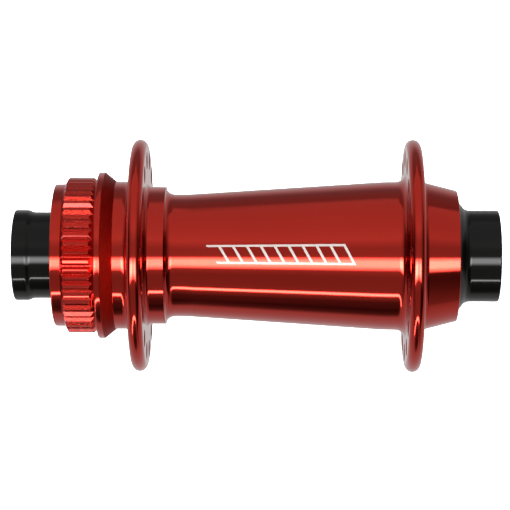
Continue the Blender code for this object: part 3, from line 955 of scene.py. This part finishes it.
def capInside(v, side, nodeName, shieldInner, shieldEnd):
    way = 1 if side == "disc_side" else -1
    face = endsOf(nodeName)[1] if way > 0 else endsOf(nodeName)[0]
    axleEnd = (endsOf("axle")[1] if way > 0 else endsOf("axle")[0]) + way * v["axleGap"]
    tube = capTube(v)
    ringGroove = oringMiddle(v) + v["oringRadius"] + v["axleGap"]
    grooveStart = shieldInner + way * v["grooveWall"]
    grooveEnd = grooveStart + way * v["grooveWidth"]
    innerLand = endsOf(f"{side}_bearing_inner_ring")[2]
    return [
        (face, v["bore"], v["boreChamfer"]),
        (axleEnd, v["bore"], v["boreEndEdge"]),
        (axleEnd, tube),
        (grooveEnd, tube, v["grooveEdge"]),
        (grooveEnd, ringGroove),
        (grooveStart, ringGroove),
        (grooveStart, tube, v["grooveEdge"]),
        (shieldEnd, tube, v["shieldEdge"]),
        (shieldEnd, innerLand, v["shieldLandEdge"]),
        (shieldInner, innerLand),
    ]


def buildDiscCap(v):
    low, high, shield = endsOf("disc_side_end_cap")
    sealHigh = endsOf("disc_side_end_cap_lip_seal")[1]
    shieldInner = sealHigh + clearance
    shieldOuter = shieldInner + v["shield"]
    tube = capTube(v)
    neck = tube + v["neckWall"]
    lip = neck + v["lipHeight"]
    ringGroove = oringMiddle(v) + v["oringRadius"] + v["axleGap"]
    grooveEnd = shieldInner + v["grooveWall"] + v["grooveWidth"]
    coneFoot = ringGroove + v["shield"]
    section = capInside(v, "disc_side", "disc_side_end_cap", shieldInner, low) + [
        (shieldInner, shield, v["shieldInnerEdge"]),
        (shieldOuter, shield, v["shieldEdge"]),
        (shieldOuter, coneFoot + v["shield"], v["coneTopEdge"]),
        (grooveEnd, coneFoot, v["coneEdge"]),
        (shieldOuter + v["neckStart"], neck, v["coneEdge"]),
        (high - v["lipLength"] - v["lipTaper"], neck, v["neckFillet"]),
        (high - v["lipLength"], lip, v["lipEdge"]),
        (high, lip, v["faceChamfer"]),
    ]
    segments = {"small": 3, v["neckFillet"]: 4}
    cap = turnedPiece("discSideEndCap", section, v["steps"], segments, blackAnodised)
    finished(cap, "disc_side_end_cap")


def buildPlainCap(v):
    low, high, shield = endsOf("plain_side_end_cap")
    sealLow = endsOf("plain_side_end_cap_lip_seal")[0]
    shieldInner = sealLow - clearance
    tube = capTube(v)
    straight = tube + v["straightWall"]
    flareEnd = shieldInner - v["flareRim"]
    flareStart = flareEnd - (shield - straight) / math.tan(math.radians(v["flareAngle"]))
    section = capInside(v, "plain_side", "plain_side_end_cap", shieldInner, high) + [
        (shieldInner, shield, v["shieldInnerEdge"]),
        (flareEnd, shield, v["shieldEdge"]),
        (flareStart, straight, v["flareFillet"]),
        (low, straight, v["faceChamfer"]),
    ]
    segments = {"small": 3, v["flareFillet"]: 5}
    cap = turnedPiece("plainSideEndCap", section, v["steps"], segments, blackAnodised)
    finished(cap, "plain_side_end_cap")


def buildOring(v, side):
    cadNode = f"{side}_end_cap_o_ring"
    radius = v["oringRadius"]
    turns = [2 * math.pi * k / v["oringSteps"] for k in range(v["oringSteps"])]
    middle, centre = middleOf(cadNode), oringMiddle(v)
    section = [(middle + radius * math.cos(a), centre + radius * math.sin(a)) for a in turns]
    ring = turnedPiece(pieceName(cadNode), section, v["steps"], {}, sealRubber, 60)
    finished(ring, cadNode)


def buildLipSeal(v, side):
    # a thin seal whose outer lip leans on the bore
    cadNode = f"{side}_end_cap_lip_seal"
    low, high, outside = endsOf(cadNode)
    inside = endsOf(f"{side}_bearing_inner_ring")[2] + clearance
    lip, sunk = outside - v["sealLipWidth"], outside - v["sealSunkWidth"]
    edge, sunkEdge, lipEdge = v["sealEdge"], v["sealSunkEdge"], v["sealLipEdge"]
    section = [
        (low, inside, edge),
        (high, inside, edge),
        (high, lip, edge),
        (high - v["sealSunkDepth"], sunk, sunkEdge),
        (high, outside, lipEdge),
        (low, outside, lipEdge),
        (low + v["sealSunkDepth"], sunk, sunkEdge),
        (low, lip, edge),
    ]
    seal = turnedPiece(pieceName(cadNode), section, v["steps"], {"small": 2}, sealRubber)
    finished(seal, cadNode)


buildDiscCap(capValues)
buildPlainCap(capValues)
for side in ("disc_side", "plain_side"):
    buildOring(capValues, side)
    buildLipSeal(capValues, side)
print("end caps made")

stageValues = {  # metres
    "floor": -0.32,
    "radius": 2.6,
    "corner": 0.9,
    "cornerSegments": 16,
    "wall": 3.2,
    "steps": 96,
    "colour": (0.95, 0.95, 0.95),
    "glow": 1.1,
}


def buildStage(v):
    # a pale round sweep that the camera sees and the polished parts don't
    bm = bmesh.new()
    points = [
        bm.verts.new((0, 0, v["floor"])),
        bm.verts.new((v["radius"], 0, v["floor"])),
        bm.verts.new((v["radius"], 0, v["wall"])),
    ]
    edges = [bm.edges.new(pair) for pair in zip(points, points[1:])]
    bmesh.ops.spin(
        bm, geom=points + edges, cent=(0, 0, 0), axis=(0, 0, 1),
        angle=2 * math.pi, steps=v["steps"], use_merge=True,
    )  # fmt: skip
    bmesh.ops.remove_doubles(bm, verts=bm.verts[:], dist=10 * sameSpot)
    # the edges where the floor meets the wall
    onFloor, offCentre = 1e-4, 1
    corner = [
        edge for edge in bm.edges
        if all(
            abs(vert.co.z - v["floor"]) < onFloor and vert.co.xy.length > offCentre
            for vert in edge.verts
        )
    ]  # fmt: skip
    bmesh.ops.bevel(
        bm, geom=corner, offset=v["corner"], offset_type="OFFSET", affect="EDGES",
        segments=v["cornerSegments"], profile=0.5, material=-1,
    )  # fmt: skip
    bmesh.ops.recalc_face_normals(bm, faces=bm.faces[:])
    bmesh.ops.reverse_faces(bm, faces=bm.faces[:])
    material, tree, shader = startMaterial("paleSweep")
    shader.inputs["Base Color"].default_value = (*v["colour"], 1)
    shader.inputs["Emission Color"].default_value = (1, 1, 1, 1)
    shader.inputs["Emission Strength"].default_value = v["glow"]
    sweep = placed("studioSweep", meshFrom(bm, "studioSweep", [material]))
    sweep.visible_diffuse = False
    sweep.visible_glossy = False
    sweep.visible_shadow = False
    sweep.visible_transmission = False


buildStage(stageValues)

lightValues = {
    # (height angle in degrees, brightness), for the directions on the camera's side and behind the hub
    "front": [
        (-90, 0.07), (-77, 0.11), (-67, 0.38), (-34, 0.34), (-24, 0.48), (-4, 0.50), (12, 0.50),
        (26, 0.80), (43, 0.70), (90, 0.60),
    ],
    "back": [
        (-90, 0.05), (-84, 0.05), (-76, 0.12), (-68, 0.55), (0, 0.60), (40, 0.50), (49, 0.34),
        (56, 0.25), (77, 0.30), (84, 0.60), (90, 0.62),
    ],
    "softbox": {
        "height": [(-24, 0.0), (-16, 1.0), (-9, 1.0), (-2, 0.0)],
        "sideways": [
            (-41, 0.0), (-35, 0.5), (-20, 0.8), (-10, 0.45), (10, 0.45), (20, 0.9), (44, 0.8), (54, 0.0),
        ],
        "strength": 26.0,
    },
    "strip": {
        "height": [(-66, 0.0), (-65, 1.0), (-62, 1.0), (-61, 0.0)],
        "sideways": [(-20, 0.0), (-12, 1.0), (26, 1.0), (40, 0.0)],
        "strength": 14.0,
    },
    "meeting": 0.05,  # how far the front and the back light fade into each other
    # the front light fades towards both ends of the hub
    "dimSideways": [
        (-90, 0.06), (-66, 0.22), (-34, 0.85), (-22, 1.0), (28, 1.0), (50, 0.65), (66, 0.20), (90, 0.05),
    ],
    # what counts as low in front and behind, and how bright the low part is along the hub
    "lowHeights": [(-90, 1.0), (-26, 1.0), (-20, 0.0), (90, 0.0)],
    "lowBackHeights": [(-90, 1.0), (-60, 1.0), (-50, 0.0), (90, 0.0)],
    "dimLowSideways": [(-90, 0.15), (-32, 0.20), (-22, 1.0), (90, 1.0)],
}  # fmt: skip


def ramped(tree, value, stops):
    # a ramp over an angle from -90 to 90 degrees, with its stops in degrees
    low, high = -90, 90
    share = node(tree, "ShaderNodeMapRange")
    tree.links.new(value, share.inputs[0])
    share.inputs[1].default_value = low
    share.inputs[2].default_value = high
    ramp = node(tree, "ShaderNodeValToRGB")
    tree.links.new(share.outputs[0], ramp.inputs[0])
    top = max(level for _, level in stops)
    elements = ramp.color_ramp.elements
    for k, (place, level) in enumerate(stops):
        position = (place - low) / (high - low)
        if k < 2:
            element = elements[k]
            element.position = position
        else:
            element = elements.new(position)
        element.color = (level / top, level / top, level / top, 1)
    return maths(tree, "MULTIPLY", ramp.outputs[0], top)


def boxLight(tree, height, sideways, v):
    up = ramped(tree, height, v["height"])
    across = ramped(tree, sideways, v["sideways"])
    return maths(tree, "MULTIPLY", maths(tree, "MULTIPLY", up, across), v["strength"])


def dimmedLow(tree, level, height, lost, stops):
    # the low part of the light ends sooner towards the plain side
    share = maths(tree, "MULTIPLY", ramped(tree, height, stops), lost)
    return maths(tree, "MULTIPLY", level, maths(tree, "SUBTRACT", 1.0, share))


def buildLight(v):
    # bands of light around the hub, from ramps on each direction's height and sideways angles
    world = bpy.data.worlds.new("studioLight")
    bpy.context.scene.world = world
    world.use_nodes = True
    tree = world.node_tree
    background = tree.nodes["Background"]
    background.inputs["Color"].default_value = (1, 1, 1, 1)
    way = node(tree, "ShaderNodeTexCoord").outputs["Generated"]
    split = node(tree, "ShaderNodeSeparateXYZ")
    tree.links.new(way, split.inputs[0])
    x, y, z = split.outputs
    toDegrees = 180 / math.pi
    height = maths(tree, "MULTIPLY", maths(tree, "ARCSINE", z), toDegrees)
    sideways = maths(tree, "MULTIPLY", maths(tree, "ARCSINE", y), toDegrees)
    front = ramped(tree, height, v["front"])
    back = ramped(tree, height, v["back"])
    sideLevel = ramped(tree, sideways, v["dimSideways"])
    lost = maths(tree, "SUBTRACT", 1.0, ramped(tree, sideways, v["dimLowSideways"]))
    dimmed = dimmedLow(tree, maths(tree, "MULTIPLY", front, sideLevel), height, lost, v["lowHeights"])
    behind = dimmedLow(tree, back, height, lost, v["lowBackHeights"])
    softbox = boxLight(tree, height, sideways, v["softbox"])
    strip = boxLight(tree, height, sideways, v["strip"])
    boxes = maths(tree, "ADD", softbox, strip)
    onFront = node(tree, "ShaderNodeMapRange", interpolation_type="SMOOTHSTEP")
    tree.links.new(x, onFront.inputs[0])
    onFront.inputs[1].default_value = v["meeting"]
    onFront.inputs[2].default_value = -v["meeting"]
    frontLight = maths(tree, "MULTIPLY", maths(tree, "ADD", dimmed, boxes), onFront.outputs[0])
    onBack = maths(tree, "SUBTRACT", 1.0, onFront.outputs[0])
    total = maths(tree, "MULTIPLY_ADD", behind, onBack, frontLight)
    tree.links.new(total, background.inputs["Strength"])


buildLight(lightValues)

cameraValues = {
    "place": (-0.4947, -0.00617, 0.00013),
    "target": (0.0, 0.00035, 0.00013),
    "lens": 153.1,
    "sensor": 36,
    "nearest": 0.01,
    "roll": 0.14,
}


def buildCamera(v):
    data = bpy.data.cameras.new("mainCamera")
    data.lens = v["lens"]
    data.sensor_width = v["sensor"]
    data.clip_start = v["nearest"]
    camera = bpy.data.objects.new("mainCamera", data)
    bpy.context.scene.collection.objects.link(camera)
    ahead = Vector(v["target"]) - Vector(v["place"])
    turn = ahead.to_track_quat("-Z", "Y").to_matrix().to_4x4()
    roll = Matrix.Rotation(math.radians(v["roll"]), 4, "Z")
    camera.matrix_world = Matrix.Translation(v["place"]) @ turn @ roll
    bpy.context.scene.camera = camera


buildCamera(cameraValues)
bpy.context.scene.view_settings.view_transform = "Standard"
print("stage, light and camera made")
